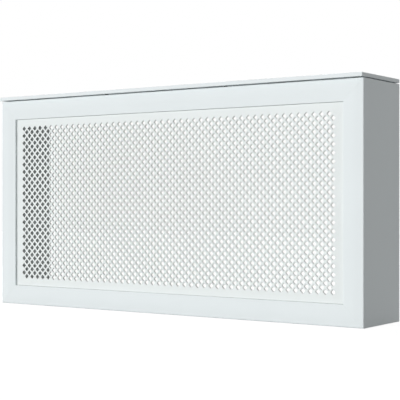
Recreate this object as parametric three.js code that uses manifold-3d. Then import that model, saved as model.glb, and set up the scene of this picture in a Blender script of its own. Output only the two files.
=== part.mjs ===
// Radiator cover cabinet: a mitred front frame holds a perforated panel, two side panels and a rear
// stretcher stand behind it, and a loose lid lies on pads, which leave a shadow gap all round.
// Millimetres. +X runs along the front to the right, +Y to the wall and +Z up. The origin is on the
// floor, under the middle of the whole outline.
import * as THREE from "three";
import { RoundedBoxGeometry } from "three/addons/geometries/RoundedBoxGeometry.js";
import { mergeGeometries, mergeVertices } from "three/addons/utils/BufferGeometryUtils.js";
import Module from "manifold-3d";

const wasm = await Module();
wasm.setup();

// Driving dimensions

// The box, without its lid.
const BOX_WIDTH = 1200;
const BOX_HEIGHT = 600;
const BOX_DEPTH = 200;
const SIDE_THICKNESS = 10;

// The lid, and the shadow gap under it.
const LID_THICKNESS = 10;
const LID_GAP = 2.5;
const LID_FRONT_OVERHANG = 7;
const LID_SIDE_OVERHANG = 0.5;
const LID_EDGE_ROUND = 2;

// The moulding of the front frame: its face slopes up from both edges to a soft ridge.
const MOULDING_FACE = 55;
const MOULDING_THICKNESS = 18;
const MOULDING_RISE = 1.25;
const MOULDING_RIDGE_ROUND = 8;
const MOULDING_OUTER_ROUND = 3;
const MOULDING_INNER_ROUND = 1;
const MITRE_GAP = 0.2;

// The perforated panel in the moulding's groove. The real panel has 10 mm square holes at 15 mm,
// 2058 in all: here each hole and web is three times as wide, and the open share is the same.
const PANEL_THICKNESS = 4;
const PANEL_SETBACK = 7;
const GROOVE_DEPTH = 8;
const HOLE_SIDE = 30;
const HOLE_PITCH = 45;
const PERFORATION_BORDER = 16;

// The loose tongue across each mitre.
const SPLINE_LENGTH = 40;
const SPLINE_WIDTH = 20;
const SPLINE_THICKNESS = 4;
const SPLINE_CENTRE = 24;
const SPLINE_SETBACK = 12;

// The rear stretcher and its holes for two wall screws.
const STRETCHER_THICKNESS = 18;
const STRETCHER_HEIGHT = 40;
const WALL_HOLE_SPACING = 800;
const WALL_HOLE_RADIUS = 4;

// The cleats that carry the lid's ends.
const CLEAT_WIDTH = 18;
const CLEAT_HEIGHT = 18;

// The dowels that stand in the lid and drop into the cleats.
const DOWEL_RADIUS = 4;
const DOWEL_IN_LID = 6;
const DOWEL_IN_CLEAT = 7.5;
const DOWEL_FROM_CLEAT_END = 36;

// The rubber pads under the lid.
const CLEAT_PAD_RADIUS = 6;
const CLEAT_PAD_FROM_END = 14;
const RAIL_PAD_RADIUS = 5;
const RAIL_PAD_SPACING = 400;

// The steel angles and the screws.
const ANGLE_LEG = 20;
const ANGLE_WIDTH = 16;
const ANGLE_THICKNESS = 2;
const ANGLE_HOLE_FROM_CORNER = 13;
const FRAME_ANGLE_FROM_END = 70;
const SMALL_SCREW = { shankRadius: 1.75, length: 9.5, headRadius: 3.5, headHeight: 2 };
const LONG_SCREW = { shankRadius: 2, length: 24, headRadius: 4, headHeight: 2.4 };
const CLEAT_SCREW_FROM_END = 58;

// The play left round whatever sits in a hole or a groove.
const PLAY = 0.3;
const ROUND_SEGMENTS = 12;

// Places worked out from the dimensions

const LEFT_INNER_X = SIDE_THICKNESS - BOX_WIDTH / 2;
const REAR_Y = (BOX_DEPTH + LID_FRONT_OVERHANG) / 2;
const FRONT_Y = REAR_Y - BOX_DEPTH;
const FRAME_BACK_Y = FRONT_Y + MOULDING_THICKNESS;
const STRETCHER_FRONT_Y = REAR_Y - STRETCHER_THICKNESS;
const LID_UNDERSIDE_Z = BOX_HEIGHT + LID_GAP;

const X = new THREE.Vector3(1, 0, 0);
const Y = new THREE.Vector3(0, 1, 0);
const Z = new THREE.Vector3(0, 0, 1);

// Colours and finishes

function finish(color, roughness, metalness = 0) {
  return new THREE.MeshStandardMaterial({ color, roughness, metalness });
}

const LACQUER = () => finish(0xeceeee, 0.45);
const BARE_WOOD = () => finish(0xd9b98c, 0.8);
const ZINC = () => finish(0xb8bcc0, 0.35, 1);
const RUBBER = () => finish(0x2a2a2b, 0.85);

// Solids

// A closed geometry as a solid that can be cut.
function toSolid(geometry) {
  const bare = geometry.clone();
  bare.deleteAttribute("normal");
  bare.deleteAttribute("uv");
  const merged = mergeVertices(bare, 1e-4);
  const triVerts = new Uint32Array(merged.index.array);
  const vertProperties = merged.attributes.position.array;
  return new wasm.Manifold(new wasm.Mesh({ numProp: 3, vertProperties, triVerts }));
}

function toGeometry(solid) {
  const { vertProperties, triVerts } = solid.getMesh();
  const indexed = new THREE.BufferGeometry();
  indexed.setAttribute("position", new THREE.BufferAttribute(vertProperties, 3));
  indexed.setIndex(new THREE.BufferAttribute(triVerts, 1));
  const geometry = indexed.toNonIndexed();
  geometry.computeVertexNormals();
  return geometry;
}

// Cuts a tool, which is placed in the scene like the piece, out of the piece.
function cut(piece, tool) {
  piece.updateMatrixWorld(true);
  tool.updateMatrixWorld(true);
  const toPiece = piece.matrixWorld.clone().invert().multiply(tool.matrixWorld);
  const placed = tool.geometry.clone().applyMatrix4(toPiece);
  piece.geometry = toGeometry(toSolid(piece.geometry).subtract(toSolid(placed)));
}

const cabinet = new THREE.Group();
const lid = new THREE.Group();

function add(group, name, geometry, material) {
  const mesh = new THREE.Mesh(geometry, material);
  mesh.name = name;
  group.add(mesh);
  return mesh;
}

// A board between two opposite corners.
function board(group, name, low, high, material) {
  const size = high.clone().sub(low);
  const mesh = add(group, name, new THREE.BoxGeometry(size.x, size.y, size.z), material);
  mesh.position.copy(low).add(high).divideScalar(2);
  return mesh;
}

// The front frame

// The moulding's section: x runs from the outer edge inwards, y from the crown to the back.
function mouldingSection() {
  const face = MOULDING_FACE;
  const grooveFront = PANEL_SETBACK - PLAY;
  const grooveBack = PANEL_SETBACK + PANEL_THICKNESS + PLAY;
  const outer = MOULDING_OUTER_ROUND;
  const inner = MOULDING_INNER_ROUND;
  const ridge = MOULDING_RIDGE_ROUND;
  // Each slope runs into the ridge's curve at the shoulder, and the curve's top is at y = 0.
  const shoulder = (MOULDING_RISE * ridge) / (face - ridge - 2 * outer);
  const section = new THREE.Shape();
  section.moveTo(0, MOULDING_THICKNESS);
  section.lineTo(0, MOULDING_RISE + outer);
  section.absarc(outer, MOULDING_RISE + outer, outer, Math.PI, 1.5 * Math.PI);
  section.lineTo(face / 2 - ridge, shoulder);
  section.quadraticCurveTo(face / 2, -shoulder, face / 2 + ridge, shoulder);
  section.lineTo(face - inner, MOULDING_RISE);
  section.absarc(face - inner, MOULDING_RISE + inner, inner, -0.5 * Math.PI, 0);
  section.lineTo(face, grooveFront);
  section.lineTo(face - GROOVE_DEPTH, grooveFront);
  section.lineTo(face - GROOVE_DEPTH, grooveBack);
  section.lineTo(face, grooveBack);
  section.lineTo(face, MOULDING_THICKNESS);
  section.closePath();
  return section;
}

// A length of moulding, mitred at both ends: z runs along it, and its outer edge is the longest.
function mitredMoulding(outerLength) {
  const geometry = new THREE.ExtrudeGeometry(mouldingSection(), {
    depth: 1,
    bevelEnabled: false,
    curveSegments: 6,
  });
  const position = geometry.attributes.position;
  for (let i = 0; i < position.count; i++) {
    const end = position.getZ(i) < 0.5 ? -1 : 1;
    const halfLength = outerLength / 2 - position.getX(i) - MITRE_GAP / 2;
    position.setZ(i, end * halfLength);
  }
  return geometry;
}

function frameMember(name, outerLength, outerX, outerZ, turn) {
  const mesh = add(cabinet, name, mitredMoulding(outerLength), LACQUER());
  mesh.position.set(outerX, FRONT_Y, outerZ);
  mesh.rotation.y = turn;
  return mesh;
}

const half = BOX_WIDTH / 2;
const middle = BOX_HEIGHT / 2;
const leftStile = frameMember("left_stile", BOX_HEIGHT, -half, middle, 0);
const topRail = frameMember("top_rail", BOX_WIDTH, 0, BOX_HEIGHT, Math.PI / 2);
const rightStile = frameMember("right_stile", BOX_HEIGHT, half, middle, Math.PI);
const bottomRail = frameMember("bottom_rail", BOX_WIDTH, 0, 0, -Math.PI / 2);

// A tongue lies in a slot across each mitre, half in the rail and half in the stile.
function mitreSpline(name, sideways, upwards, rail, stile) {
  const place = (mesh) => {
    const z = upwards > 0 ? BOX_HEIGHT - SPLINE_CENTRE : SPLINE_CENTRE;
    mesh.position.set(sideways * (half - SPLINE_CENTRE), FRONT_Y + SPLINE_SETBACK, z);
    mesh.rotation.y = (sideways * upwards * -Math.PI) / 4;
    return mesh;
  };
  const size = [SPLINE_LENGTH, SPLINE_THICKNESS, SPLINE_WIDTH];
  const slotSize = size.map((length) => length + 2 * PLAY);
  place(add(cabinet, name, new THREE.BoxGeometry(...size), BARE_WOOD()));
  const slot = place(new THREE.Mesh(new THREE.BoxGeometry(...slotSize)));
  cut(rail, slot);
  cut(stile, slot);
}

mitreSpline("mitre_spline_top_left", -1, 1, topRail, leftStile);
mitreSpline("mitre_spline_top_right", 1, 1, topRail, rightStile);
mitreSpline("mitre_spline_bottom_left", -1, -1, bottomRail, leftStile);
mitreSpline("mitre_spline_bottom_right", 1, -1, bottomRail, rightStile);

// The perforated panel: squares stood on their corners, in two lattices half a step apart. The left
// column starts at the top, and the right column ends at the bottom.
function perforatedPanel() {
  const openingWidth = BOX_WIDTH - 2 * MOULDING_FACE;
  const openingHeight = BOX_HEIGHT - 2 * MOULDING_FACE;
  const tongue = GROOVE_DEPTH - PLAY;
  const mesh = add(
    cabinet,
    "perforated_panel",
    new THREE.BoxGeometry(
      openingWidth + 2 * tongue,
      PANEL_THICKNESS,
      openingHeight + 2 * tongue,
    ),
    LACQUER(),
  );
  mesh.position.set(0, FRONT_Y + PANEL_SETBACK + PANEL_THICKNESS / 2, middle);

  const step = HOLE_PITCH * Math.SQRT2;
  const holeWidth = HOLE_SIDE * Math.SQRT2;
  const countIn = (length) => Math.floor((length - 2 * PERFORATION_BORDER - holeWidth) / step + 0.5);
  const columns = 2 * countIn(openingWidth);
  const rows = 2 * countIn(openingHeight);
  const holes = [];
  for (let column = 0; column < columns; column++) {
    for (let row = column % 2; row < rows; row += 2) {
      const x = ((column - (columns - 1) / 2) * step) / 2;
      const z = (((rows - 1) / 2 - row) * step) / 2;
      const hole = new THREE.BoxGeometry(HOLE_SIDE, 2 * PANEL_THICKNESS, HOLE_SIDE);
      holes.push(hole.rotateY(Math.PI / 4).translate(x, 0, z));
    }
  }
  const punch = new THREE.Mesh(mergeGeometries(holes));
  punch.position.copy(mesh.position);
  cut(mesh, punch);
}

perforatedPanel();

// The boards behind the frame

const leftSide = board(
  cabinet,
  "left_side_panel",
  new THREE.Vector3(-half, FRAME_BACK_Y, 0),
  new THREE.Vector3(LEFT_INNER_X, REAR_Y, BOX_HEIGHT),
  LACQUER(),
);
const rightSide = board(
  cabinet,
  "right_side_panel",
  new THREE.Vector3(-LEFT_INNER_X, FRAME_BACK_Y, 0),
  new THREE.Vector3(half, REAR_Y, BOX_HEIGHT),
  LACQUER(),
);
const stretcher = board(
  cabinet,
  "rear_stretcher",
  new THREE.Vector3(LEFT_INNER_X, STRETCHER_FRONT_Y, BOX_HEIGHT - STRETCHER_HEIGHT),
  new THREE.Vector3(-LEFT_INNER_X, REAR_Y, BOX_HEIGHT),
  LACQUER(),
);

// Two holes through the stretcher take the screws that fix the cabinet to the wall.
for (const side of [-1, 1]) {
  const bore = new THREE.Mesh(
    new THREE.CylinderGeometry(
      WALL_HOLE_RADIUS,
      WALL_HOLE_RADIUS,
      2 * STRETCHER_THICKNESS,
      ROUND_SEGMENTS,
    ),
  );
  const z = BOX_HEIGHT - STRETCHER_HEIGHT / 2;
  bore.position.set((side * WALL_HOLE_SPACING) / 2, STRETCHER_FRONT_Y, z);
  cut(stretcher, bore);
}

// Screws and angles

// A pan-head screw: its head's underside is at the seat, and its shank runs along the direction.
function screw(name, size, seat, direction, pieces) {
  const { shankRadius, length, headRadius, headHeight } = size;
  const place = (mesh) => {
    mesh.position.copy(seat);
    mesh.quaternion.setFromUnitVectors(Y, direction);
    return mesh;
  };
  const section = [
    new THREE.Vector2(0, -headHeight),
    new THREE.Vector2(0.7 * headRadius, -0.85 * headHeight),
    new THREE.Vector2(headRadius, -0.35 * headHeight),
    new THREE.Vector2(headRadius, 0),
    new THREE.Vector2(shankRadius, 0),
    new THREE.Vector2(shankRadius, length - 2 * shankRadius),
    new THREE.Vector2(0, length),
  ];
  place(add(cabinet, name, new THREE.LatheGeometry(section, ROUND_SEGMENTS), ZINC()));
  const boreRadius = shankRadius + PLAY;
  const boreDepth = length + PLAY;
  const bore = new THREE.CylinderGeometry(boreRadius, boreRadius, boreDepth, ROUND_SEGMENTS);
  bore.translate(0, boreDepth / 2, 0);
  for (const piece of pieces) cut(piece, place(new THREE.Mesh(bore)));
}

// A steel angle in a corner: its legs run along legA and legB, flat on the pieces that they join,
// and a screw goes through each leg.
function steelAngle(name, corner, legA, legB, underLegA, underLegB) {
  const outline = new THREE.Shape([
    new THREE.Vector2(0, 0),
    new THREE.Vector2(ANGLE_LEG, 0),
    new THREE.Vector2(ANGLE_LEG, ANGLE_THICKNESS),
    new THREE.Vector2(ANGLE_THICKNESS, ANGLE_THICKNESS),
    new THREE.Vector2(ANGLE_THICKNESS, ANGLE_LEG),
    new THREE.Vector2(0, ANGLE_LEG),
  ]);
  const geometry = new THREE.ExtrudeGeometry(outline, { depth: ANGLE_WIDTH, bevelEnabled: false });
  geometry.translate(0, 0, -ANGLE_WIDTH / 2);
  const mesh = add(cabinet, name, geometry, ZINC());
  const across = new THREE.Vector3().crossVectors(legA, legB);
  mesh.quaternion.setFromRotationMatrix(new THREE.Matrix4().makeBasis(legA, legB, across));
  mesh.position.copy(corner);
  const fix = (along, off, piece, suffix) => {
    const seat = corner.clone().addScaledVector(along, ANGLE_HOLE_FROM_CORNER);
    seat.addScaledVector(off, ANGLE_THICKNESS);
    screw(`${name}_${suffix}_screw`, SMALL_SCREW, seat, off.clone().negate(), [mesh, piece]);
  };
  fix(legA, legB, underLegA, "a");
  fix(legB, legA, underLegB, "b");
}

const sides = [
  { word: "left", inwards: X, innerX: LEFT_INNER_X, panel: leftSide, stile: leftStile },
  {
    word: "right",
    inwards: X.clone().negate(),
    innerX: -LEFT_INNER_X,
    panel: rightSide,
    stile: rightStile,
  },
];
const angleHeights = {
  top: BOX_HEIGHT - FRAME_ANGLE_FROM_END,
  middle,
  bottom: FRAME_ANGLE_FROM_END,
};

for (const { word, inwards, innerX, panel, stile } of sides) {
  for (const [level, z] of Object.entries(angleHeights)) {
    const corner = new THREE.Vector3(innerX, FRAME_BACK_Y, z);
    steelAngle(`frame_angle_${word}_${level}`, corner, inwards, Y, stile, panel);
  }
  const stretcherMiddleY = REAR_Y - STRETCHER_THICKNESS / 2;
  const corner = new THREE.Vector3(innerX, stretcherMiddleY, BOX_HEIGHT - STRETCHER_HEIGHT);
  steelAngle(`stretcher_angle_${word}`, corner, inwards, Z.clone().negate(), stretcher, panel);
}

// The lid, and what carries it

// Its top and upright edges are rounded, and its underside is cut off square.
const lidWidth = BOX_WIDTH + 2 * LID_SIDE_OVERHANG;
const lidDepth = BOX_DEPTH + LID_FRONT_OVERHANG;
const lidPanel = add(
  lid,
  "lid_panel",
  new RoundedBoxGeometry(lidWidth, lidDepth, 2 * LID_THICKNESS, 2, LID_EDGE_ROUND),
  LACQUER(),
);
lidPanel.position.set(0, REAR_Y - lidDepth / 2, LID_UNDERSIDE_Z);
const underLid = new THREE.Mesh(
  new THREE.BoxGeometry(2 * lidWidth, 2 * lidDepth, 2 * LID_THICKNESS),
);
underLid.position.copy(lidPanel.position);
underLid.position.z -= LID_THICKNESS;
cut(lidPanel, underLid);

// An upright round peg with its foot at the given place.
function uprightPeg(group, name, radius, height, foot, material) {
  const geometry = new THREE.CylinderGeometry(radius, radius, height, ROUND_SEGMENTS);
  const mesh = add(group, name, geometry, material);
  mesh.rotation.x = Math.PI / 2;
  mesh.position.copy(foot);
  mesh.position.z += height / 2;
  return mesh;
}

function lidPad(name, radius, x, y) {
  uprightPeg(cabinet, name, radius, LID_GAP, new THREE.Vector3(x, y, BOX_HEIGHT), RUBBER());
}

// A dowel stands in a blind hole of the lid and reaches into a looser one in the cleat.
function lidDowel(name, x, y, cleat) {
  const height = DOWEL_IN_CLEAT + LID_GAP + DOWEL_IN_LID;
  const foot = new THREE.Vector3(x, y, BOX_HEIGHT - DOWEL_IN_CLEAT);
  uprightPeg(lid, name, DOWEL_RADIUS, height, foot, BARE_WOOD());
  const bore = uprightPeg(
    new THREE.Group(),
    "bore",
    DOWEL_RADIUS + PLAY,
    height + 2 * PLAY,
    foot.clone().addScaledVector(Z, -PLAY),
    RUBBER(),
  );
  cut(cleat, bore);
  cut(lidPanel, bore);
}

for (const { word, inwards, innerX, panel } of sides) {
  const nearX = innerX + inwards.x * CLEAT_WIDTH;
  const cleat = board(
    cabinet,
    `${word}_cleat`,
    new THREE.Vector3(Math.min(innerX, nearX), FRAME_BACK_Y, BOX_HEIGHT - CLEAT_HEIGHT),
    new THREE.Vector3(Math.max(innerX, nearX), STRETCHER_FRONT_Y, BOX_HEIGHT),
    LACQUER(),
  );
  const middleX = (innerX + nearX) / 2;
  for (const [place, end, towards] of [
    ["front", FRAME_BACK_Y, 1],
    ["rear", STRETCHER_FRONT_Y, -1],
  ]) {
    lidPad(`lid_pad_${word}_${place}`, CLEAT_PAD_RADIUS, middleX, end + towards * CLEAT_PAD_FROM_END);
    lidDowel(`lid_dowel_${word}_${place}`, middleX, end + towards * DOWEL_FROM_CLEAT_END, cleat);
    const seatY = end + towards * CLEAT_SCREW_FROM_END;
    const seat = new THREE.Vector3(nearX, seatY, BOX_HEIGHT - CLEAT_HEIGHT / 2);
    const outwards = inwards.clone().negate();
    screw(`${word}_cleat_${place}_screw`, LONG_SCREW, seat, outwards, [cleat, panel]);
  }
  const padX = (-inwards.x * RAIL_PAD_SPACING) / 2;
  lidPad(`lid_pad_rail_${word}`, RAIL_PAD_RADIUS, padX, FRONT_Y + MOULDING_THICKNESS / 2);
  lidPad(`lid_pad_stretcher_${word}`, RAIL_PAD_RADIUS, padX, REAR_Y - STRETCHER_THICKNESS / 2);
}

const radiatorCover = new THREE.Group();
radiatorCover.add(cabinet, lid);

export default radiatorCover;
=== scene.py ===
# A white radiator cover cabinet, put together as it is in the workshop: the front frame, its
# perforated panel, the boards behind it, the fittings that join them, and the loose lid.
import math
import bmesh
import bpy
from mathutils import Matrix, Vector


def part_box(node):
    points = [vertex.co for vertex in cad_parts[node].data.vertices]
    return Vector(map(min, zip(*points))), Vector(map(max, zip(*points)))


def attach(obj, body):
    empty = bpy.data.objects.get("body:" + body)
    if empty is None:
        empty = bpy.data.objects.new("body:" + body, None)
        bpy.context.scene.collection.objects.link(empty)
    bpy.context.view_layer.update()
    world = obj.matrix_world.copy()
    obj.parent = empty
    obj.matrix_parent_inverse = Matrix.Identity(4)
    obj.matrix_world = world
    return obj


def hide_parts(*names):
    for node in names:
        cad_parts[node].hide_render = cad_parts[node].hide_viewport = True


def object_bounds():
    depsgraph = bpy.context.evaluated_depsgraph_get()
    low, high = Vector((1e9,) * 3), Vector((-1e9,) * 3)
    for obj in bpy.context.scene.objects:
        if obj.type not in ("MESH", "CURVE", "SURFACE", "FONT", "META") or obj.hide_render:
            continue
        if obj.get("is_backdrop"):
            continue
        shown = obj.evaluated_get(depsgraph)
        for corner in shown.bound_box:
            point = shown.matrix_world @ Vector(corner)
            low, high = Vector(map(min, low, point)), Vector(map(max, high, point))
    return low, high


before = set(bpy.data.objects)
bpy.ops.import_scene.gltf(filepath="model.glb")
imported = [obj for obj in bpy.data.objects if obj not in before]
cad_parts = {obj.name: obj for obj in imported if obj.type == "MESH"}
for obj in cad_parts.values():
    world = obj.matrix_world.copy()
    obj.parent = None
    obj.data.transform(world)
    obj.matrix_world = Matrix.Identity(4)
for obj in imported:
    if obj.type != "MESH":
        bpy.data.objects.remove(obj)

cad_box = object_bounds()
MM = 0.001


# ---------------------------------------------------------------- camera
# It stands level with the middle of the cabinet and to its front right, and looks through a long
# lens, so upright lines stay upright and the cabinet fills the width of the square picture.
PHOTO_WIDTH = 400
FOCAL_LENGTH_PIXELS = 1130.7
CAMERA_AZIMUTH = math.radians(35.02)
CAMERA_PLACE = Vector((1.8273, -2.5266, 0.3071))

camera_data = bpy.data.cameras.new("camera")
camera_data.sensor_width = 36
camera_data.lens = camera_data.sensor_width * FOCAL_LENGTH_PIXELS / PHOTO_WIDTH
camera = bpy.data.objects.new("camera", camera_data)
camera.location = CAMERA_PLACE
camera.rotation_euler = (math.pi / 2, 0, CAMERA_AZIMUTH)
bpy.context.collection.objects.link(camera)
bpy.context.scene.camera = camera


# ---------------------------------------------------------------- studio
# A pale floor and a white surround, plain white to the eye, which send little light back on the
# cabinet. The two main lamps stand low in front, so the right side keeps its grey. Weak ones from
# the sides, above and behind keep the faces that look away from them pale.
FLOOR_HALF = 6.0
FLOOR_GREY = 0.30
FLOOR_GREY_SEEN = 0.20
FLOOR_GLOW_SEEN = 0.92
SURROUND_LEVEL = 0.08

scene = bpy.context.scene
scene.view_settings.view_transform = "Standard"


def feed(tree, inlet, value):
    """Gives an inlet a plain value, or the outlet of another node."""
    if isinstance(value, bpy.types.NodeSocket):
        tree.links.new(value, inlet)
    else:
        inlet.default_value = value


def put(tree, kind, inputs, **settings):
    """Adds a node with these settings, feeds its inputs and gives its outlets."""
    node = tree.nodes.new(kind)
    for setting, value in settings.items():
        setattr(node, setting, value)
    for key, value in inputs.items():
        feed(tree, node.inputs[key], value)
    return node.outputs


def maths(tree, operation, first, second):
    return put(tree, "ShaderNodeMath", {0: first, 1: second}, operation=operation)[0]


def seen_ray(tree):
    """1 for rays that end in the eye or in a reflection, 0 for light that falls on things."""
    path = put(tree, "ShaderNodeLightPath", {})
    seen = maths(tree, "MAXIMUM", path["Is Camera Ray"], path["Is Glossy Ray"])
    return maths(tree, "MAXIMUM", seen, path["Is Transmission Ray"])


def white_surround():
    world = bpy.data.worlds.new("surround")
    world.use_nodes = True
    tree = world.node_tree
    background = tree.nodes["Background"].inputs
    levels = {"Value": seen_ray(tree), "To Min": SURROUND_LEVEL, "To Max": 1}
    feed(tree, background["Color"], (1, 1, 1, 1))
    feed(tree, background["Strength"], put(tree, "ShaderNodeMapRange", levels)["Result"])
    return world


def white_floor():
    """Seen, it is white with a faint shadow; to light that falls on things, it is grey."""
    material = bpy.data.materials.new("studio_floor")
    material.use_nodes = True
    tree = material.node_tree
    tree.nodes.remove(tree.nodes["Principled BSDF"])

    def matt(grey):
        return put(tree, "ShaderNodeBsdfDiffuse", {"Color": (grey, grey, grey, 1)})["BSDF"]

    glow = put(tree, "ShaderNodeEmission", {"Strength": FLOOR_GLOW_SEEN})["Emission"]
    seen = put(tree, "ShaderNodeAddShader", {0: matt(FLOOR_GREY_SEEN), 1: glow})["Shader"]
    choosing = {"Fac": seen_ray(tree), 1: matt(FLOOR_GREY), 2: seen}
    choice = put(tree, "ShaderNodeMixShader", choosing)["Shader"]
    feed(tree, tree.nodes["Material Output"].inputs["Surface"], choice)
    return material


def lamp(name, azimuth, elevation, strength, spread):
    """A soft, far lamp. Azimuth 0 is straight in front, and a positive one is to the left."""
    data = bpy.data.lights.new(name, "SUN")
    data.energy = strength
    data.angle = math.radians(spread)
    sun = bpy.data.objects.new(name, data)
    sun.rotation_euler = (math.radians(90 - elevation), 0, math.radians(-azimuth))
    bpy.context.collection.objects.link(sun)


scene.world = white_surround()
lamp("key_lamp", azimuth=22, elevation=6.5, strength=1.85, spread=14)
lamp("side_lamp", azimuth=40, elevation=7, strength=0.84, spread=14)
lamp("right_lamp", azimuth=-80, elevation=8, strength=0.63, spread=10)
lamp("left_lamp", azimuth=95, elevation=12, strength=0.9, spread=10)
lamp("top_lamp", azimuth=0, elevation=90, strength=0.45, spread=6)
lamp("rear_lamp", azimuth=150, elevation=45, strength=1.3, spread=10)

floor_mesh = bpy.data.meshes.new("floor")
around = ((-1, -1), (1, -1), (1, 1), (-1, 1))
floor_corners = [(x * FLOOR_HALF, y * FLOOR_HALF, 0) for x, y in around]
floor_mesh.from_pydata(floor_corners, [], [(0, 1, 2, 3)])
floor_mesh.materials.append(white_floor())
floor = bpy.data.objects.new("floor", floor_mesh)
bpy.context.collection.objects.link(floor)
floor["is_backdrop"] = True


# ---------------------------------------------------------------- lacquer
# Satin white lacquer, sprayed on once the box is put together. It lies a little uneven, as sprayed
# lacquer does, with a faint orange peel and a gloss that is not the same everywhere.
LACQUER_WHITE = (0.800, 0.855, 0.866)
LACQUER_WHITE_THIN = (0.786, 0.841, 0.852)
LACQUER_ROUGHNESS = (0.60, 0.70)
ORANGE_PEEL_SIZE = 1.6 * MM
ORANGE_PEEL_DEPTH = 0.02 * MM
CLOUD_SIZE = 120 * MM
NOISE_MIDDLE = (0.3, 0.7)


def noise(tree, place, size, detail):
    texture = {"Vector": place, "Scale": 1 / size, "Detail": detail}
    return put(tree, "ShaderNodeTexNoise", texture)["Fac"]


def ramp(tree, value, *colours):
    """A colour between the two, over the middle part of the noise's range."""
    blend = tree.nodes.new("ShaderNodeValToRGB")
    for stop, position, colour in zip(blend.color_ramp.elements, NOISE_MIDDLE, colours):
        stop.position = position
        stop.color = (*colour, 1)
    feed(tree, blend.inputs["Fac"], value)
    return blend.outputs["Color"]


def spread_over(tree, value, low, high):
    """A number between the two, over the same part of the noise's range."""
    start, end = NOISE_MIDDLE
    ends = {"Value": value, "From Min": start, "From Max": end, "To Min": low, "To Max": high}
    return put(tree, "ShaderNodeMapRange", ends)["Result"]


def new_finish(name):
    """A material, its node tree, and the place on the object that its patterns follow."""
    material = bpy.data.materials.new(name)
    material.use_nodes = True
    place = put(material.node_tree, "ShaderNodeTexCoord", {})["Object"]
    return material, material.node_tree, place


def coat(tree, tone, colours, gloss, roughness, relief, depth):
    """Gives the surface its colours, its roughness and its fine relief, each from a noise."""
    surface = tree.nodes["Principled BSDF"].inputs
    bumps = put(tree, "ShaderNodeBump", {"Strength": 1, "Distance": depth, "Height": relief})
    feed(tree, surface["Base Color"], ramp(tree, tone, *colours))
    feed(tree, surface["Roughness"], spread_over(tree, gloss, *roughness))
    feed(tree, surface["Normal"], bumps["Normal"])


def lacquer(name, thin_white, white, roughness):
    material, tree, place = new_finish(name)
    clouds = noise(tree, place, CLOUD_SIZE, 3)
    peel = noise(tree, place, ORANGE_PEEL_SIZE, 1)
    coat(tree, clouds, (thin_white, white), clouds, roughness, peel, ORANGE_PEEL_DEPTH)
    return material


board_lacquer = lacquer("board_lacquer", LACQUER_WHITE_THIN, LACQUER_WHITE, LACQUER_ROUGHNESS)


# ---------------------------------------------------------------- front frame
# Four lengths of MDF moulding, mitred at the corners. Its face slopes up from both edges to a soft
# ridge half-way across, and a groove in its inner edge holds the perforated panel.
MOULDING_RISE = 1.25 * MM
MOULDING_RIDGE_ROUND = 8 * MM
MOULDING_OUTER_ROUND = 3 * MM
MOULDING_INNER_ROUND = 1 * MM
MITRE_GAP = 0.2 * MM
GROOVE_DEPTH = 8 * MM
GROOVE_PLAY = 0.3 * MM
ARC_STEPS = 8
SLOT_PLAY = 0.3 * MM
BORE_SIDES = 32
SHANK_SHARE = 0.5  # of the width of the screw's head
SMOOTH_BELOW = math.radians(25)
SAME_PLACE = 1e-6  # metres between points that count as one

stile_low, stile_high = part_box("left_stile")
panel_low, panel_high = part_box("perforated_panel")
_, side_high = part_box("right_side_panel")
moulding_face = stile_high.x - stile_low.x
moulding_front = stile_low.y
moulding_thickness = stile_high.y - stile_low.y
box_width = 2 * side_high.x
box_height = side_high.z
groove_front = panel_low.y - moulding_front - GROOVE_PLAY
groove_back = panel_high.y - moulding_front + GROOVE_PLAY


def arc(centre, radius, start, end, steps=ARC_STEPS):
    angles = [start + (end - start) * i / steps for i in range(steps + 1)]
    return [(centre[0] + radius * math.cos(a), centre[1] + radius * math.sin(a)) for a in angles]


def moulding_section():
    """Points (distance from the outer edge, depth behind the ridge), round the section."""
    face, ridge = moulding_face, MOULDING_RIDGE_ROUND
    outer, inner = MOULDING_OUTER_ROUND, MOULDING_INNER_ROUND
    outer_round = arc((outer, MOULDING_RISE + outer), outer, math.pi, 1.5 * math.pi)
    inner_round = arc((face - inner, MOULDING_RISE + inner), inner, -0.5 * math.pi, 0)
    # The ridge is a shallow parabola, which runs on into the straight slopes beside it.
    shoulder = MOULDING_RISE * ridge / (face - ridge - 2 * outer)
    crest = []
    for i in range(ARC_STEPS + 1):
        t = 2 * i / ARC_STEPS - 1
        crest.append((face / 2 + t * ridge, shoulder * t * t))
    back = [
        (face, groove_front),
        (face - GROOVE_DEPTH, groove_front),
        (face - GROOVE_DEPTH, groove_back),
        (face, groove_back),
        (face, moulding_thickness),
        (0, moulding_thickness),
    ]
    return outer_round + crest + inner_round + back


def link_piece(name, mesh, material):
    mesh.materials.clear()
    mesh.materials.append(material)
    piece = bpy.data.objects.new(name, mesh)
    bpy.context.collection.objects.link(piece)
    return piece


def keep_result(piece):
    """Puts what the piece's modifiers make in its mesh, and takes the modifiers off."""
    depsgraph = bpy.context.evaluated_depsgraph_get()
    result = bpy.data.meshes.new_from_object(piece.evaluated_get(depsgraph))
    piece.modifiers.clear()
    piece.data = result


def round_off(piece):
    """Shades the small rounds as curved, while the flat faces between them stay flat."""
    piece.data.shade_smooth()
    piece.data.set_sharp_from_angle(angle=SMOOTH_BELOW)
    weighted = piece.modifiers.new("weighted", "WEIGHTED_NORMAL")
    weighted.mode = "FACE_AREA"
    weighted.keep_sharp = True
    keep_result(piece)


def as_mesh(made, name):
    mesh = bpy.data.meshes.new(name)
    made.to_mesh(mesh)
    made.free()
    return mesh


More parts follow.
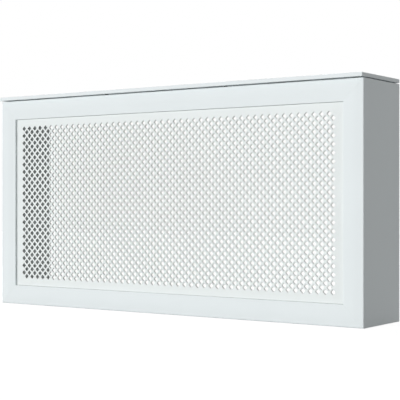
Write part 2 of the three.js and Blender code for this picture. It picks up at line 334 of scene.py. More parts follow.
def bar_between(first_points, last_points):
    """A closed bar between two like outlines."""
    made = bmesh.new()
    first, last = ([made.verts.new(p) for p in points] for points in (first_points, last_points))
    count = len(first)
    for i in range(count):
        j = (i + 1) % count
        made.faces.new((first[i], first[j], last[j], last[i]))
    made.faces.new(first)
    made.faces.new(list(reversed(last)))
    bmesh.ops.recalc_face_normals(made, faces=made.faces)
    return made


def mitred_moulding(outer_length):
    """A mesh in the moulding's own axes: x across from the outer edge, y back, z along."""
    reach = (outer_length - MITRE_GAP) / 2
    section = moulding_section()
    ends = [[(x, y, end * (reach - x)) for x, y in section] for end in (-1, 1)]
    return as_mesh(bar_between(*ends), "moulding")


def carve(piece, tools):
    """Cuts the tools, which are closed meshes, out of the piece."""
    cutters = []
    for tool in tools:
        cutter = bpy.data.objects.new("cutter", tool)
        bpy.context.collection.objects.link(cutter)
        cutters.append(cutter)
        modifier = piece.modifiers.new("carve", "BOOLEAN")
        modifier.object = cutter
        modifier.operation = "DIFFERENCE"
        modifier.solver = "EXACT"
    keep_result(piece)
    for cutter in cutters:
        bpy.data.objects.remove(cutter)


def spline_slot(node):
    """A block just larger than the loose tongue across a mitre, turned as the tongue is."""
    low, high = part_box(node)
    centre = (low + high) / 2
    made = bmesh.new()
    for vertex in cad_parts[node].data.vertices:
        outwards = vertex.co - centre
        made.verts.new(centre + outwards * (1 + 2 * SLOT_PLAY / outwards.length))
    bmesh.ops.remove_doubles(made, verts=made.verts, dist=SAME_PLACE)
    bmesh.ops.convex_hull(made, input=made.verts)
    return as_mesh(made, "slot")


def bore(start, end, radius):
    """A closed round bar between two points, to be cut out."""
    run = end - start
    made = bmesh.new()
    bmesh.ops.create_cone(
        made, cap_ends=True, segments=BORE_SIDES, radius1=radius, radius2=radius, depth=run.length
    )
    turn = run.to_track_quat("Z", "Y").to_matrix().to_4x4()
    made.transform(Matrix.Translation((start + end) / 2) @ turn)
    return as_mesh(made, "bore")


def long_axis(low, high):
    size = high - low
    return max(range(3), key=lambda axis: size[axis])


def screw_bores(node):
    """The pilot holes of all the screws that reach into this node."""
    low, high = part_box(node)
    bores = []
    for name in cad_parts:
        if not name.endswith("_screw"):
            continue
        screw_low, screw_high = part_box(name)
        if all(screw_low[i] < high[i] and screw_high[i] > low[i] for i in range(3)):
            axis = long_axis(screw_low, screw_high)
            start = (screw_low + screw_high) / 2
            end = start.copy()
            start[axis] = screw_low[axis] - SLOT_PLAY
            end[axis] = screw_high[axis] + SLOT_PLAY
            width = screw_high[(axis + 1) % 3] - screw_low[(axis + 1) % 3]
            bores.append(bore(start, end, width * SHANK_SHARE / 2 + SLOT_PLAY))
    return bores


# Each member: its outer length, the place of its outer edge's middle, its turn about Y, and the
# two tongues that reach into it.
half, middle = box_width / 2, box_height / 2
frame_members = {
    "left_stile": (box_height, (-half, middle), 0, ("top_left", "bottom_left")),
    "top_rail": (box_width, (0, box_height), 90, ("top_left", "top_right")),
    "right_stile": (box_height, (half, middle), 180, ("top_right", "bottom_right")),
    "bottom_rail": (box_width, (0, 0), -90, ("bottom_left", "bottom_right")),
}
for node, (outer_length, (x, z), turn, tongues) in frame_members.items():
    mesh = mitred_moulding(outer_length)
    place = Matrix.Translation((x, moulding_front, z)) @ Matrix.Rotation(math.radians(turn), 4, "Y")
    mesh.transform(place)
    piece = link_piece(f"moulded_{node}", mesh, board_lacquer)
    carve(piece, [spline_slot(f"mitre_spline_{tongue}") for tongue in tongues] + screw_bores(node))
    round_off(piece)
    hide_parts(node)
    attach(piece, "cabinet")


# ---------------------------------------------------------------- perforated panel
# A sheet of lacquered HDF, held in the frame's groove on all four sides. It is punched with square
# holes that stand on their corners, in two lattices half a step apart: the left column's first hole
# is the topmost, and the right column's last one the lowest.
HOLE_COLUMNS = 49
HOLE_ROWS = 21
HOLE_SIDE = 10 * MM
HOLE_PITCH = 15 * MM
PUNCHED_EDGE = 0.1 * MM
PUNCHED_CORNER = 0.4 * MM
WELD_BELOW = 0.002 * MM
SHEET_WHITE = (0.800, 0.844, 0.840)
SHEET_WHITE_THIN = (0.786, 0.831, 0.827)
SHEET_ROUGHNESS = (0.56, 0.64)
# Partly painted shade: the hole walls' grey stands for their thin coat and for the shade inside the
# holes.
CUT_WALL_SHADE_GREY = (0.36, 0.37, 0.35)
# Painted shade: a fine grey line round the panel where the frame meets it.
SEAM_SHADE_GREY = (0.30, 0.31, 0.30)
SEAM_SHADE_WIDTH = 0.6 * MM


def sized_tree(name, sizes):
    """A geometry tree with a named input for each size, and the outlets of those inputs."""
    tree = bpy.data.node_groups.new(name, "GeometryNodeTree")
    tree.interface.new_socket("Geometry", in_out="OUTPUT", socket_type="NodeSocketGeometry")
    tree.interface.new_socket("Geometry", in_out="INPUT", socket_type="NodeSocketGeometry")
    for label, kind in sizes.items():
        tree.interface.new_socket(label, in_out="INPUT", socket_type=f"NodeSocket{kind}")
    return tree, tree.nodes.new("NodeGroupInput").outputs


def joined(tree, parts):
    node = tree.nodes.new("GeometryNodeJoinGeometry")
    for part in parts:
        tree.links.new(part, node.inputs[0])
    return node.outputs[0]


def moved(tree, geometry, **placing):
    return put(tree, "GeometryNodeTransform", {"Geometry": geometry, **placing})["Geometry"]


def vector(tree, x=0.0, y=0.0, z=0.0):
    return put(tree, "ShaderNodeCombineXYZ", {"X": x, "Y": y, "Z": z})["Vector"]


def on_points(tree, points, instance, **turning):
    setting = {"Points": points, "Instance": instance, **turning}
    return put(tree, "GeometryNodeInstanceOnPoints", setting)["Instances"]


def end_tree(tree, geometry, material):
    whole = put(tree, "GeometryNodeRealizeInstances", {"Geometry": geometry})["Geometry"]
    welding = {"Geometry": whole, "Distance": WELD_BELOW}
    welded = put(tree, "GeometryNodeMergeByDistance", welding)["Geometry"]
    coated = put(tree, "GeometryNodeSetMaterial", {"Geometry": welded, "Material": material})
    put(tree, "NodeGroupOutput", {"Geometry": coated["Geometry"]})


def grown(name, tree, sizes, seeds=None):
    """Runs a tree, on a mesh of seed points where it needs one, and keeps what it makes."""
    piece = bpy.data.objects.new(name, seeds or bpy.data.meshes.new("seed"))
    bpy.context.collection.objects.link(piece)
    modifier = piece.modifiers.new("tree", "NODES")
    modifier.node_group = tree
    for socket in tree.interface.items_tree:
        if socket.in_out == "INPUT" and socket.name in sizes:
            modifier[socket.identifier] = sizes[socket.name]
    keep_result(piece)
    piece.data.materials.clear()
    piece.data.materials.append(sizes["Material"])
    piece.data.polygons.foreach_set("material_index", [0] * len(piece.data.polygons))
    return piece


def punched_sheet_tree():
    """A sheet in the XY plane, its face at z = 0, with a finely broken edge round every hole."""
    tree, size = sized_tree(
        "punched_sheet",
        {
            "Width": "Float",
            "Height": "Float",
            "Thickness": "Float",
            "Columns": "Int",
            "Rows": "Int",
            "Hole Side": "Float",
            "Hole Pitch": "Float",
            "Edge": "Float",
            "Corner": "Float",
            "Placing": "Vector",
            "Material": "Material",
        },
    )
    # The hole's outline on the face is wider than the hole, by the broken edge.
    both_edges = maths(tree, "MULTIPLY", size["Edge"], 2.0)
    mouth = maths(tree, "ADD", size["Hole Side"], both_edges)
    square = put(tree, "GeometryNodeCurvePrimitiveQuadrilateral", {"Width": mouth, "Height": mouth})
    filleting = {"Curve": square["Curve"], "Radius": size["Corner"], "Count": 1}
    outline = put(tree, "GeometryNodeFilletCurve", filleting, mode="POLY")["Curve"]
    outline = moved(tree, outline, Rotation=(0, 0, math.pi / 4))

    # The wall of one hole, from the face to the back: broken edge, straight wall, broken edge.
    to_side = maths(tree, "DIVIDE", size["Hole Side"], mouth)
    to_mouth = maths(tree, "DIVIDE", mouth, size["Hole Side"])
    straight = maths(tree, "SUBTRACT", size["Thickness"], both_edges)
    wall = put(tree, "GeometryNodeCurveToMesh", {"Curve": outline})["Mesh"]
    edge_ring = True
    for depth, widening in ((size["Edge"], to_side), (straight, 1.0), (size["Edge"], to_mouth)):
        down = vector(tree, z=maths(tree, "MULTIPLY", depth, -1.0))
        extruding = {"Mesh": wall, "Selection": edge_ring, "Offset": down, "Offset Scale": 1.0}
        extruded = put(tree, "GeometryNodeExtrudeMesh", extruding, mode="EDGES")
        edge_ring = extruded["Top"]
        place = put(tree, "GeometryNodeInputPosition", {})["Position"]
        scales = vector(tree, widening, widening, 1.0)
        widened = put(tree, "ShaderNodeVectorMath", {0: place, 1: scales}, operation="MULTIPLY")
        placing = {"Geometry": extruded["Mesh"], "Selection": edge_ring, "Position": widened[0]}
        wall = put(tree, "GeometryNodeSetPosition", placing)["Geometry"]
    wall = put(tree, "GeometryNodeFlipFaces", {"Mesh": wall})["Mesh"]
    marking = {"Geometry": wall, "Name": "cut_wall", "Value": 1.0}
    on_faces = {"data_type": "FLOAT", "domain": "FACE"}
    wall = put(tree, "GeometryNodeStoreNamedAttribute", marking, **on_faces)["Geometry"]

    # Two lattices, the second half a step to the right of and below the first.
    step = maths(tree, "MULTIPLY", size["Hole Pitch"], math.sqrt(2))
    lattice = put(
        tree,
        "GeometryNodeMeshGrid",
        {
            "Size X": maths(tree, "MULTIPLY", step, maths(tree, "SUBTRACT", size["Columns"], 1.0)),
            "Size Y": maths(tree, "MULTIPLY", step, maths(tree, "SUBTRACT", size["Rows"], 1.0)),
            "Vertices X": size["Columns"],
            "Vertices Y": size["Rows"],
        },
    )["Mesh"]
    right = maths(tree, "DIVIDE", step, 4.0)
    left = maths(tree, "DIVIDE", step, -4.0)
    first_set = moved(tree, lattice, Translation=vector(tree, left, right))
    second_set = moved(tree, lattice, Translation=vector(tree, right, left))
    holes = joined(tree, (first_set, second_set))

    def filled(outlines):
        filling = {"Curve": joined(tree, outlines)}
        return put(tree, "GeometryNodeFillCurve", filling, mode="TRIANGLES")["Mesh"]

    # Round every hole lies a square of the sheet, one pitch wide. What is left is the plain border.
    cell = {"Width": size["Hole Pitch"], "Height": size["Hole Pitch"]}
    cell = put(tree, "GeometryNodeCurvePrimitiveQuadrilateral", cell)["Curve"]
    cell = moved(tree, cell, Rotation=(0, 0, math.pi / 4))
    cells = on_points(tree, holes, filled([cell]))
    cells = put(tree, "GeometryNodeRealizeInstances", {"Geometry": cells})["Geometry"]
    field = {"Geometry": cells, "Distance": WELD_BELOW}
    field = put(tree, "GeometryNodeMergeByDistance", field)["Geometry"]
    beside = put(tree, "GeometryNodeInputMeshEdgeNeighbors", {})["Face Count"]
    field_edge = {"Mesh": field, "Selection": maths(tree, "LESS_THAN", beside, 1.5)}
    field_outline = put(tree, "GeometryNodeMeshToCurve", field_edge)["Curve"]
    rim = {"Width": size["Width"], "Height": size["Height"]}
    rim = put(tree, "GeometryNodeCurvePrimitiveQuadrilateral", rim)["Curve"]
    border = filled([rim, field_outline])
    face = joined(tree, (border, on_points(tree, holes, filled([cell, outline]))))
    through = vector(tree, z=maths(tree, "MULTIPLY", size["Thickness"], -1.0))
    face = put(tree, "GeometryNodeRealizeInstances", {"Geometry": face})["Geometry"]
    back = put(tree, "GeometryNodeFlipFaces", {"Mesh": moved(tree, face, Translation=through)})[0]
    rim_edge = put(tree, "GeometryNodeCurveToMesh", {"Curve": rim})["Mesh"]
    rim_extruding = {"Mesh": rim_edge, "Offset": through, "Offset Scale": 1.0}
    rim_wall = put(tree, "GeometryNodeExtrudeMesh", rim_extruding, mode="EDGES")["Mesh"]
    sheet = joined(tree, (face, back, rim_wall, on_points(tree, holes, wall)))
    upright = moved(tree, sheet, Rotation=(math.pi / 2, 0, 0), Translation=size["Placing"])
    end_tree(tree, upright, size["Material"])
    return tree


def worn_where(tree, amount, colour):
    """Mixes a colour into the material's own, by an amount from 0 to 1."""
    own = tree.nodes["Principled BSDF"].inputs["Base Color"]
    colours = {"Factor": amount, "A": own.links[0].from_socket, "B": (*colour, 1)}
    feed(tree, own, put(tree, "ShaderNodeMix", colours, data_type="RGBA")["Result"])


def thin_on_walls(tree):
    """The spray hardly reaches the walls of the holes, so the board's grey shows through there; the
    grey is also darkened as painted shade inside the holes.
    """
    cut_wall = put(tree, "ShaderNodeAttribute", {}, attribute_name="cut_wall")["Fac"]
    worn_where(tree, cut_wall, CUT_WALL_SHADE_GREY)


def thin_at_seam(tree):
    """Painted shade: a fine grey line on the panel along the frame's inner edge, for the shade in
    that corner.
    """
    place = put(tree, "ShaderNodeTexCoord", {})["Object"]
    centre = vector(tree, 0.0, panel_low.y, middle)
    from_centre = put(tree, "ShaderNodeVectorMath", {0: place, 1: centre}, operation="SUBTRACT")[0]
    away = put(tree, "ShaderNodeVectorMath", {0: from_centre}, operation="ABSOLUTE")[0]
    away = put(tree, "ShaderNodeSeparateXYZ", {0: away})
    past_stile = maths(tree, "SUBTRACT", away["X"], half - moulding_face)
    past_rail = maths(tree, "SUBTRACT", away["Z"], middle - moulding_face)
    past = maths(tree, "MAXIMUM", past_stile, past_rail)
    worn_where(tree, maths(tree, "GREATER_THAN", past, -SEAM_SHADE_WIDTH), SEAM_SHADE_GREY)


sheet_lacquer = lacquer("sheet_lacquer", SHEET_WHITE_THIN, SHEET_WHITE, SHEET_ROUGHNESS)
thin_on_walls(sheet_lacquer.node_tree)
thin_at_seam(sheet_lacquer.node_tree)
punched_panel = grown(
    "punched_panel",
    punched_sheet_tree(),
    {
        "Width": panel_high.x - panel_low.x,
        "Height": panel_high.z - panel_low.z,
        "Thickness": panel_high.y - panel_low.y,
        "Columns": HOLE_COLUMNS,
        "Rows": HOLE_ROWS,
        "Hole Side": HOLE_SIDE,
        "Hole Pitch": HOLE_PITCH,
        "Edge": PUNCHED_EDGE,
        "Corner": PUNCHED_CORNER,
        "Placing": (0.0, panel_low.y, (panel_low.z + panel_high.z) / 2),
        "Material": sheet_lacquer,
    },
)
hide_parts("perforated_panel")
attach(punched_panel, "cabinet")


# ---------------------------------------------------------------- side boards
# Two plain boards of lacquered MDF, fixed to the back of the frame. The lacquer was sprayed after
# that, so no seam shows between them. Their free edges are lightly broken, for the lacquer to hold.
BOARD_EDGE_ROUND = 0.8 * MM
BOARD_EDGE_STEPS = 3


def block(low, high):
    made = bmesh.new()
    bmesh.ops.create_cube(made, size=1)
    made.transform(Matrix.Translation((low + high) / 2) @ Matrix.Diagonal((*(high - low), 1)))
    return made


def ease(made, edges, radius, steps):
    """Rounds some of the edges of what is being made."""
    bmesh.ops.bevel(made, geom=edges, offset=radius, segments=steps, profile=0.5, affect="EDGES")


def eased_board(node, square_faces):
    """A board of the node's size. The edges of its square faces, which butt, stay sharp."""
    made = block(*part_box(node))
    for face in made.faces:
        face.normal_update()

    def butts(face):
        axis = max(range(3), key=lambda i: abs(face.normal[i]))
        return ("-" if face.normal[axis] < 0 else "+") + "xyz"[axis] in square_faces

    free = [edge for edge in made.edges if not any(butts(face) for face in edge.link_faces)]
    ease(made, free, BOARD_EDGE_ROUND, BOARD_EDGE_STEPS)
    bmesh.ops.recalc_face_normals(made, faces=made.faces)
    return as_mesh(made, "board")


def fit_board(node, square_faces, bores=()):
    piece = link_piece(f"eased_{node}", eased_board(node, square_faces), board_lacquer)
    carve(piece, screw_bores(node) + list(bores))
    round_off(piece)
    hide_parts(node)
    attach(piece, "cabinet")


for node in ("left_side_panel", "right_side_panel"):
    fit_board(node, {"-y"})


# ---------------------------------------------------------------- rear stretcher
# A lacquered MDF batten that ties the sides together across the open back. Two holes through it
# take the screws that hold the cabinet to the wall.
WALL_HOLE_SPACING = 800 * MM
WALL_HOLE_RADIUS = 4 * MM

stretcher_low, stretcher_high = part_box("rear_stretcher")
wall_holes = []
for side in (-1, 1):
    x, z = side * WALL_HOLE_SPACING / 2, (stretcher_low.z + stretcher_high.z) / 2
    front = Vector((x, stretcher_low.y - SLOT_PLAY, z))
    back = Vector((x, stretcher_high.y + SLOT_PLAY, z))
    wall_holes.append(bore(front, back, WALL_HOLE_RADIUS))
fit_board("rear_stretcher", {"-x", "+x"}, wall_holes)


# ---------------------------------------------------------------- lid cleats
# A square MDF batten inside each side, screwed to it under the top edge. It carries an end of the
# lid, and two holes in it take the lid's dowels loosely.
DOWEL_PLAY = 0.3 * MM


def dowel_bores(nodes):
    bores = []
    for name in nodes:
        low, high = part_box(name)
        x, y = (low.x + high.x) / 2, (low.y + high.y) / 2
        foot, top = Vector((x, y, low.z - DOWEL_PLAY)), Vector((x, y, high.z + DOWEL_PLAY))
        bores.append(bore(foot, top, (high.x - low.x) / 2 + DOWEL_PLAY))
    return bores


for side, wall in (("left", "-x"), ("right", "+x")):
    dowels = [f"lid_dowel_{side}_{place}" for place in ("front", "rear")]
    fit_board(f"{side}_cleat", {wall, "-y", "+y"}, dowel_bores(dowels))


# ---------------------------------------------------------------- mitre splines
# Loose beech tongues, glued into slots across the four mitres. They lie inside the moulding, so
# they keep the plain solids' shape, with the grain running across the joint.
BEECH_LIGHT = (0.66, 0.44, 0.27)
BEECH_DARK = (0.50, 0.31, 0.18)
BEECH_ROUGHNESS = (0.55, 0.72)
BEECH_GRAIN_LENGTH = 18 * MM
BEECH_GRAIN_WIDTH = 0.9 * MM
BEECH_GRAIN_DEPTH = 0.05 * MM


def beech(name, grain):
    """Bare beech: short dark flecks and fine pores, drawn out along the grain's direction."""
    material, tree, place = new_finish(name)
    upright = Vector(grain).to_track_quat("Z", "Y").inverted().to_euler()
    along = BEECH_GRAIN_WIDTH / BEECH_GRAIN_LENGTH
    drawing_out = {"Vector": place, "Rotation": upright, "Scale": (1, 1, along)}
    drawn_out = put(tree, "ShaderNodeMapping", drawing_out)["Vector"]
    lines = noise(tree, drawn_out, BEECH_GRAIN_WIDTH, 4)
    colours = (BEECH_DARK, BEECH_LIGHT)
    coat(tree, lines, colours, lines, BEECH_ROUGHNESS, lines, BEECH_GRAIN_DEPTH)
    return material


def coat_node(node, material):
    """Gives a CAD node that keeps its shape a finer material."""
    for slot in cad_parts[node].material_slots:
        slot.material = material


for corner, grain in {
    "top_left": (1, 0, 1),
    "bottom_right": (1, 0, 1),
    "top_right": (-1, 0, 1),
    "bottom_left": (-1, 0, 1),
}.items():
    coat_node(f"mitre_spline_{corner}", beech(f"beech_tongue_{corner}", grain))


# ---------------------------------------------------------------- steel angles
# Pressed from zinc-plated strip: six join the frame to the sides, and two the stretcher to the
# sides. The bend is rounded inside and out, and so are the corners of the legs.
ANGLE_THICKNESS = 2 * MM
ANGLE_OUTER_BEND = 2.5 * MM
ANGLE_INNER_BEND = 1.0 * MM
ANGLE_CORNER_ROUND = 3.0 * MM
ANGLE_CORNER_STEPS = 5
ANGLE_EDGE_ROUND = 0.25 * MM
ANGLE_EDGE_STEPS = 2
SHARP_ABOVE = math.radians(50)
ZINC_LIGHT = (0.70, 0.72, 0.74)
ZINC_DARK = (0.54, 0.56, 0.59)
ZINC_ROUGHNESS = (0.24, 0.42)
ZINC_SPANGLE = 2.5 * MM
ZINC_ROLLING = 0.5 * MM
ZINC_DEPTH = 0.01 * MM


def zinc(name):
    """Zinc plating: soft spangles in the tone, over the fine lines of the rolled strip."""
    material, tree, place = new_finish(name)
    tree.nodes["Principled BSDF"].inputs["Metallic"].default_value = 1
    spangle = noise(tree, place, ZINC_SPANGLE, 2)
    rolling = noise(tree, place, ZINC_ROLLING, 3)
    colours = (ZINC_DARK, ZINC_LIGHT)
    coat(tree, spangle, colours, rolling, ZINC_ROUGHNESS, rolling, ZINC_DEPTH)
    return material


def steel_angle(leg, width, thickness):
    """An angle in its own axes: its legs run along x and y, and its width along z."""
    outer = arc((ANGLE_OUTER_BEND, ANGLE_OUTER_BEND), ANGLE_OUTER_BEND, 1.5 * math.pi, math.pi)
    inner_centre = thickness + ANGLE_INNER_BEND
    inner = arc((inner_centre, inner_centre), ANGLE_INNER_BEND, math.pi, 1.5 * math.pi)
    outline = [(leg, 0), *outer, (0, leg), (thickness, leg), *inner, (leg, thickness)]
    made = bar_between(*([(x, y, side * width / 2) for x, y in outline] for side in (-1, 1)))

    # The four corners at the tips of the legs run through the strip. They are rounded first.
    def at_tip(edge):
        first, second = (vertex.co for vertex in edge.verts)
        reach = leg - SAME_PLACE
        at_end = min(first.x, second.x) > reach or min(first.y, second.y) > reach
        return at_end and abs(first.z - second.z) < SAME_PLACE

    tips = [edge for edge in made.edges if at_tip(edge)]
    ease(made, tips, ANGLE_CORNER_ROUND, ANGLE_CORNER_STEPS)
    sharp = [edge for edge in made.edges if edge.calc_face_angle(0) > SHARP_ABOVE]
    ease(made, sharp, ANGLE_EDGE_ROUND, ANGLE_EDGE_STEPS)
    return as_mesh(made, "angle")


zinc_plate = zinc("zinc_plate")
angle_places = {}
for side, inwards in (("left", 1), ("right", -1)):
    for level in ("top", "middle", "bottom"):
        angle_places[f"frame_angle_{side}_{level}"] = (Vector((inwards, 0, 0)), Vector((0, 1, 0)))
    angle_places[f"stretcher_angle_{side}"] = (Vector((inwards, 0, 0)), Vector((0, 0, -1)))

for node, (leg_a, leg_b) in angle_places.items():
    low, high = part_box(node)
    across = leg_a.cross(leg_b)
    size = high - low
    width = abs(size.dot(across))
    corner = (low + high) / 2
    for leg in (leg_a, leg_b):
        corner -= leg * abs(size.dot(leg)) / 2
    turn = Matrix((leg_a, leg_b, across)).transposed().to_4x4()
    mesh = steel_angle(abs(size.dot(leg_a)), width, ANGLE_THICKNESS)
    mesh.transform(Matrix.Translation(corner) @ turn)
    piece = link_piece(f"pressed_{node}", mesh, zinc_plate)
    carve(piece, screw_bores(node))
    round_off(piece)
    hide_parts(node)
    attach(piece, "cabinet")


# ---------------------------------------------------------------- screws
# Zinc-plated pan-head wood screws with a cross recess: two small ones through each steel angle, and
# two long ones through each cleat. The shank carries a fine thread up to the head.
HEAD_SIDES = 24
SMALL_SCREW = {
    "Head Radius": 3.5 * MM,
    "Head Height": 2.0 * MM,
    "Shank Radius": 1.75 * MM,
    "Length": 9.5 * MM,
    "Thread Pitch": 1.4 * MM,
}
LONG_SCREW = {
    "Head Radius": 4.0 * MM,
    "Head Height": 2.4 * MM,
    "Shank Radius": 2.0 * MM,
    "Length": 24 * MM,
    "Thread Pitch": 1.8 * MM,
}
# Up from the seat and out from the axis, as shares of the head's height and radius.
HEAD_SHAPE = ((-1.0, 0.30), (-0.97, 0.52), (-0.86, 0.76), (-0.66, 0.93), (-0.38, 1.0), (0.0, 1.0))
# Shares of the shank's radius.
THREAD_DEPTH = 0.22
THREAD_START = 0.4
THREAD_SHORT_OF_POINT = 0.8
POINT_LENGTH = 2.0
POINT_RADIUS = 0.06
THREAD_STEPS = 14
# Shares of the head's radius, the first two, and of its height.
RECESS_WIDTH = 0.26
RECESS_REACH = 1.15
RECESS_DEPTH = 0.62


def stacked(tree, outline, places, scales):
    """A solid along z: the outline at each place, at the scale of the same number."""
    count = len(places)
    # A line along z, whose points are then moved to their places.
    rungs = put(tree, "GeometryNodeMeshLine", {"Count": count, "Offset": (0, 0, MM)})["Mesh"]
    spine = put(tree, "GeometryNodeMeshToCurve", {"Mesh": rungs})["Curve"]

    def numbered(values):
        chooser = tree.nodes.new("GeometryNodeIndexSwitch")
        chooser.data_type = "FLOAT"
        while len(chooser.index_switch_items) < count:
            chooser.index_switch_items.new()
        feed(tree, chooser.inputs["Index"], put(tree, "GeometryNodeInputIndex", {})["Index"])
        for i, value in enumerate(values):
            feed(tree, chooser.inputs[str(i)], value)
        return chooser.outputs[0]

    placing = {"Geometry": spine, "Position": vector(tree, z=numbered(places))}
    spine = put(tree, "GeometryNodeSetPosition", placing)["Geometry"]
    sweeping = {"Curve": spine, "Profile Curve": outline, "Scale": numbered(scales)}
    return put(tree, "GeometryNodeCurveToMesh", {**sweeping, "Fill Caps": True})["Mesh"]


def circle(tree, sides, radius=1.0):
    ring = {"Resolution": sides, "Radius": radius}
    return put(tree, "GeometryNodeCurvePrimitiveCircle", ring)["Curve"]


def along_aim(tree):
    """The turn that points an instance's z axis along its seed's own direction."""
    aim = put(tree, "GeometryNodeInputNamedAttribute", {"Name": "aim"}, data_type="FLOAT_VECTOR")
    turning = {"Vector": aim["Attribute"]}
    return put(tree, "FunctionNodeAlignRotationToVector", turning, axis="Z")["Rotation"]


def pan_head_screw_tree():
    tree, size = sized_tree(
        "pan_head_screws",
        {
            "Head Radius": "Float",
            "Head Height": "Float",
            "Shank Radius": "Float",
            "Length": "Float",
            "Thread Pitch": "Float",
            "Material": "Material",
        },
    )

    def part(name, share):
        return maths(tree, "MULTIPLY", size[name], share)

    core = maths(tree, "SUBTRACT", size["Shank Radius"], part("Shank Radius", THREAD_DEPTH))
    point = maths(tree, "SUBTRACT", size["Length"], part("Shank Radius", POINT_LENGTH))
    places = [part("Head Height", up) for up, _ in HEAD_SHAPE] + [0.0, point, size["Length"]]
    radii = [part("Head Radius", out) for _, out in HEAD_SHAPE]
    radii += [core, core, part("Shank Radius", POINT_RADIUS)]
    body = stacked(tree, circle(tree, HEAD_SIDES), places, radii)

    # The cross recess: two crossed bars are cut out of the head.
    bars = []
    for turn in (0, math.pi / 2):
        reach, width = part("Head Radius", RECESS_REACH), part("Head Radius", RECESS_WIDTH)
        bar = {"Size": vector(tree, reach, width, part("Head Height", 2 * RECESS_DEPTH))}
        bar = put(tree, "GeometryNodeMeshCube", bar)["Mesh"]
        lift = vector(tree, z=part("Head Height", -1.0))
        bars.append(moved(tree, bar, Rotation=(0, 0, turn), Translation=lift))
    cross = tree.nodes.new("GeometryNodeMeshBoolean")
    cross.operation = "DIFFERENCE"
    cross.solver = "EXACT"
    cross.inputs["Self Intersection"].default_value = True
    tree.links.new(body, cross.inputs["Mesh 1"])
    for bar in bars:
        tree.links.new(bar, cross.inputs["Mesh 2"])

    # The thread: a ridge of three sides, wound round the core.
    threaded = maths(tree, "SUBTRACT", point, part("Shank Radius", THREAD_SHORT_OF_POINT))
    winding = {
        "Resolution": THREAD_STEPS,
        "Rotations": maths(tree, "DIVIDE", threaded, size["Thread Pitch"]),
        "Start Radius": core,
        "End Radius": core,
        "Height": threaded,
    }
    helix = put(tree, "GeometryNodeCurveSpiral", winding)["Curve"]
    helix = moved(tree, helix, Translation=vector(tree, z=part("Shank Radius", THREAD_START)))
    ridge = circle(tree, 3, part("Shank Radius", THREAD_DEPTH))
    winding = {"Curve": helix, "Profile Curve": ridge, "Fill Caps": True}
    thread = put(tree, "GeometryNodeCurveToMesh", winding)["Mesh"]
    screw = joined(tree, (cross.outputs["Mesh"], thread))
    screws = on_points(tree, size["Geometry"], screw, Rotation=along_aim(tree))
    end_tree(tree, screws, size["Material"])
    return tree


def screw_seeds(nodes, head_height):
    """A point under each head, with the direction in which the screw was driven."""
    seats, aims = [], []
    for name in nodes:
        low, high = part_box(name)
        axis = long_axis(low, high)
        seat = (low + high) / 2
        # Driven outwards into a side, forwards into the frame, or up into the stretcher.
        towards = (math.copysign(1, seat.x), -1, 1)[axis]
        seat[axis] = (low if towards > 0 else high)[axis] + towards * head_height
        aim = Vector((0, 0, 0))
        aim[axis] = towards
        seats.append(seat)
        aims.append(aim)
    mesh = bpy.data.meshes.new("seats")
    mesh.from_pydata(seats, [], [])
    mesh.attributes.new("aim", "FLOAT_VECTOR", "POINT")
    mesh.attributes["aim"].data.foreach_set("vector", [value for aim in aims for value in aim])
    return mesh


zinc_screw = zinc("zinc_screw")
screw_tree = pan_head_screw_tree()
angle_screws = [f"{node}_{leg}_screw" for node in angle_places for leg in "ab"]
cleat_screws = [f"{s}_cleat_{end}_screw" for s in ("left", "right") for end in ("front", "rear")]
for name, nodes, sizes in (
    ("angle_screws", angle_screws, SMALL_SCREW),
    ("cleat_screws", cleat_screws, LONG_SCREW),
):
    seeds = screw_seeds(nodes, sizes["Head Height"])
    piece = grown(name, screw_tree, {**sizes, "Material": zinc_screw}, seeds)
    round_off(piece)
    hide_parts(*nodes)
    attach(piece, "cabinet")


# ---------------------------------------------------------------- lid pads
# Round pads of black rubber, stuck on the cleats, the top rail and the stretcher. The lid lies on
# them, and their height is the dark gap under it.
PAD_SIDES = 40
PAD_EDGE_ROUND = 0.5 * MM
PAD_SLIGHT_ROUND = 0.3  # of the edge's round
RUBBER_DARK = (0.018, 0.018, 0.019)
RUBBER_LIGHT = (0.034, 0.034, 0.035)
RUBBER_ROUGHNESS = (0.72, 0.90)
RUBBER_GRAIN_SIZE = 0.4 * MM
RUBBER_GRAIN_DEPTH = 0.03 * MM


def rubber():
    material, tree, place = new_finish("black_rubber")
    grain = noise(tree, place, RUBBER_GRAIN_SIZE, 2)
    colours = (RUBBER_DARK, RUBBER_LIGHT)
    coat(tree, grain, colours, grain, RUBBER_ROUGHNESS, grain, RUBBER_GRAIN_DEPTH)
    return material


def pad_tree():
    tree, size = sized_tree(
        "round_pads",
        {"Radius": "Float", "Height": "Float", "Edge Round": "Float", "Material": "Material"},
    )
    # The foot's edge is nearly sharp, and the top edge is rounded in two steps.
    slight = maths(tree, "MULTIPLY", size["Edge Round"], PAD_SLIGHT_ROUND)
    nearly_out = maths(tree, "SUBTRACT", size["Radius"], slight)
    top_ring = maths(tree, "SUBTRACT", size["Radius"], size["Edge Round"])
    shoulder = maths(tree, "SUBTRACT", size["Height"], size["Edge Round"])
    nearly_up = maths(tree, "SUBTRACT", size["Height"], slight)
    places = [0.0, slight, shoulder, nearly_up, size["Height"]]
    radii = [nearly_out, size["Radius"], size["Radius"], nearly_out, top_ring]
    pad = stacked(tree, circle(tree, PAD_SIDES), places, radii)
    end_tree(tree, on_points(tree, size["Geometry"], pad), size["Material"])
    return tree


def feet(nodes):
    """A seed point at the middle of each node's underside."""
    mesh = bpy.data.meshes.new("feet")
    boxes = [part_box(name) for name in nodes]
    mesh.from_pydata([((lo.x + hi.x) / 2, (lo.y + hi.y) / 2, lo.z) for lo, hi in boxes], [], [])
    return mesh


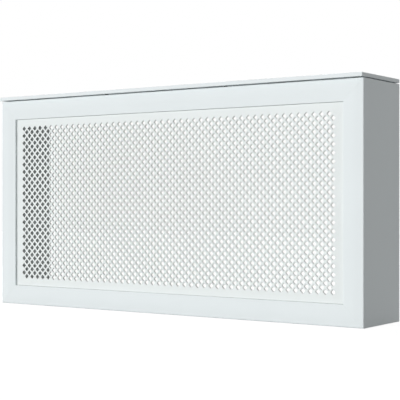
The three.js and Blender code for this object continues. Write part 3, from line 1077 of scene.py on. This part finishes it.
black_rubber = rubber()
round_pads = pad_tree()
for name, nodes in {
    "cleat_pads": [f"lid_pad_{s}_{end}" for s in ("left", "right") for end in ("front", "rear")],
    "batten_pads": [f"lid_pad_{on}_{s}" for on in ("rail", "stretcher") for s in ("left", "right")],
}.items():
    low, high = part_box(nodes[0])
    sizes = {"Radius": (high.x - low.x) / 2, "Height": high.z - low.z, "Edge Round": PAD_EDGE_ROUND}
    piece = grown(name, round_pads, {**sizes, "Material": black_rubber}, feet(nodes))
    round_off(piece)
    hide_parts(*nodes)
    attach(piece, "cabinet")


# ---------------------------------------------------------------- lid dowels
# Four fluted beech dowels, glued into the lid's underside. They drop into the cleats, so the lid
# can't slip sideways, and it lifts straight off.
DOWEL_CHAMFER = 0.8 * MM
DOWEL_FLUTES = 16
DOWEL_FLUTE_DEPTH = 0.25 * MM


def dowel_tree():
    tree, size = sized_tree(
        "fluted_dowels",
        {
            "Radius": "Float",
            "Length": "Float",
            "Chamfer": "Float",
            "Flutes": "Int",
            "Flute Depth": "Float",
            "Material": "Material",
        },
    )
    # Every flute has four points of the outline, and its third and fourth lie deeper.
    outline = circle(tree, maths(tree, "MULTIPLY", size["Flutes"], 4.0))
    index = put(tree, "GeometryNodeInputIndex", {})["Index"]
    is_deep = maths(tree, "GREATER_THAN", maths(tree, "MODULO", index, 4.0), 1.5)
    share = maths(tree, "DIVIDE", size["Flute Depth"], size["Radius"])
    reach = maths(tree, "SUBTRACT", 1.0, maths(tree, "MULTIPLY", is_deep, share))
    place = put(tree, "GeometryNodeInputPosition", {})["Position"]
    scales = vector(tree, reach, reach, 1.0)
    drawn_in = put(tree, "ShaderNodeVectorMath", {0: place, 1: scales}, operation="MULTIPLY")[0]
    fluted = {"Geometry": outline, "Position": drawn_in}
    fluted = put(tree, "GeometryNodeSetPosition", fluted)["Geometry"]
    upper = maths(tree, "SUBTRACT", size["Length"], size["Chamfer"])
    narrow = maths(tree, "SUBTRACT", size["Radius"], size["Chamfer"])
    places = [0.0, size["Chamfer"], upper, size["Length"]]
    dowel = stacked(tree, fluted, places, [narrow, size["Radius"], size["Radius"], narrow])
    end_tree(tree, on_points(tree, size["Geometry"], dowel), size["Material"])
    return tree


dowel_nodes = [f"lid_dowel_{side}_{end}" for side in ("left", "right") for end in ("front", "rear")]
dowel_low, dowel_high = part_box(dowel_nodes[0])
beech_dowel = beech("beech_dowel", (0, 0, 1))
sizes = {
    "Radius": (dowel_high.x - dowel_low.x) / 2,
    "Length": dowel_high.z - dowel_low.z,
    "Chamfer": DOWEL_CHAMFER,
    "Flutes": DOWEL_FLUTES,
    "Flute Depth": DOWEL_FLUTE_DEPTH,
    "Material": beech_dowel,
}
fluted_dowels = grown("fluted_dowels", dowel_tree(), sizes, feet(dowel_nodes))
round_off(fluted_dowels)
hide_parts(*dowel_nodes)
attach(fluted_dowels, "lid")


# ---------------------------------------------------------------- lid
# A thin lacquered MDF board, rounded on top and at its corners, and nearly sharp underneath. It
# overhangs the front and lies loose on its pads, so a dark line runs between it and the cabinet.
LID_EDGE_ROUND = 2 * MM
LID_EDGE_STEPS = 5
LID_UNDER_ROUND = 0.5 * MM
LID_UNDER_STEPS = 2

lid_lacquer = lacquer("lid_lacquer", LACQUER_WHITE_THIN, LACQUER_WHITE, LACQUER_ROUGHNESS)
lid_low, lid_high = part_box("lid_panel")
lid_block = block(lid_low, lid_high)


def lies_under(edge):
    return all(vertex.co.z < lid_low.z + SAME_PLACE for vertex in edge.verts)


upper_edges = [edge for edge in lid_block.edges if not lies_under(edge)]
ease(lid_block, upper_edges, LID_EDGE_ROUND, LID_EDGE_STEPS)
lower_edges = [edge for edge in lid_block.edges if lies_under(edge)]
ease(lid_block, lower_edges, LID_UNDER_ROUND, LID_UNDER_STEPS)
rounded_lid = link_piece("rounded_lid", as_mesh(lid_block, "lid"), lid_lacquer)
carve(rounded_lid, dowel_bores(dowel_nodes))
round_off(rounded_lid)
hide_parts("lid_panel")
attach(rounded_lid, "lid")


# ---------------------------------------------------------------- outer size
# The box round the solids and the box round the finished pieces, which should be the same.
boxes = {"cad": cad_box, "visual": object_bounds()}
boxes = {name: [list(low), list(high)] for name, (low, high) in boxes.items()}
